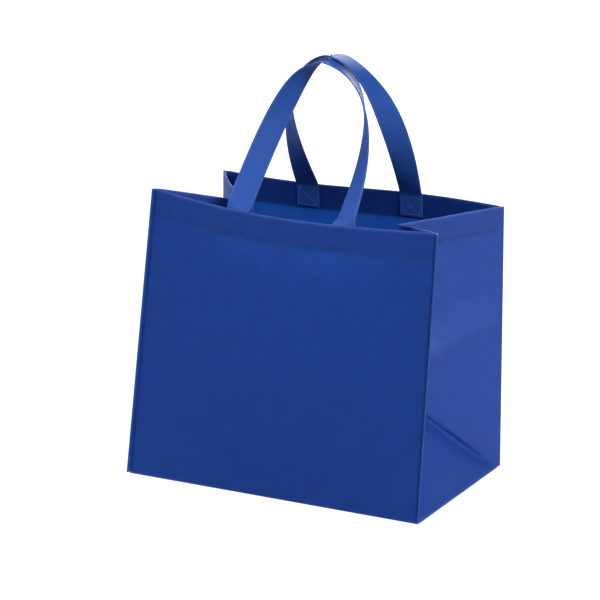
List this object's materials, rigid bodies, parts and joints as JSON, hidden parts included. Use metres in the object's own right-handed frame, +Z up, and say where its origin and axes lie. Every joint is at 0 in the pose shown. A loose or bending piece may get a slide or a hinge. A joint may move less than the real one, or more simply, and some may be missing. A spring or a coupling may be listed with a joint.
{
  "type": "grocery tote bag",
  "caption": "Open blue non-woven grocery tote with a flat base, inward-folded side gussets, hemmed rim and flat strap handles that meet over the mouth.",
  "frame": {"origin": "middle of the base on the floor", "axes": "+Z up, +X to the viewer's right along the front panel, -Y towards the front"},
  "size_m": [0.3374, 0.2311, 0.4409],
  "materials": {
    "blue_panel_cloth": "matte spun non-woven with a fine embossed dot pattern",
    "blue_gusset_cloth": "matte spun non-woven with a fine embossed dot pattern",
    "blue_strap": "matte folded non-woven strap",
    "dark_board": "dull stiff board"
  },
  "bodies": {
    "root": {"body_panel": "blue_panel_cloth", "left_gusset": "blue_gusset_cloth", "right_gusset": "blue_gusset_cloth", "front_handle": "blue_strap", "back_handle": "blue_strap", "base_board": "dark_board"}
  },
  "joints": []
}
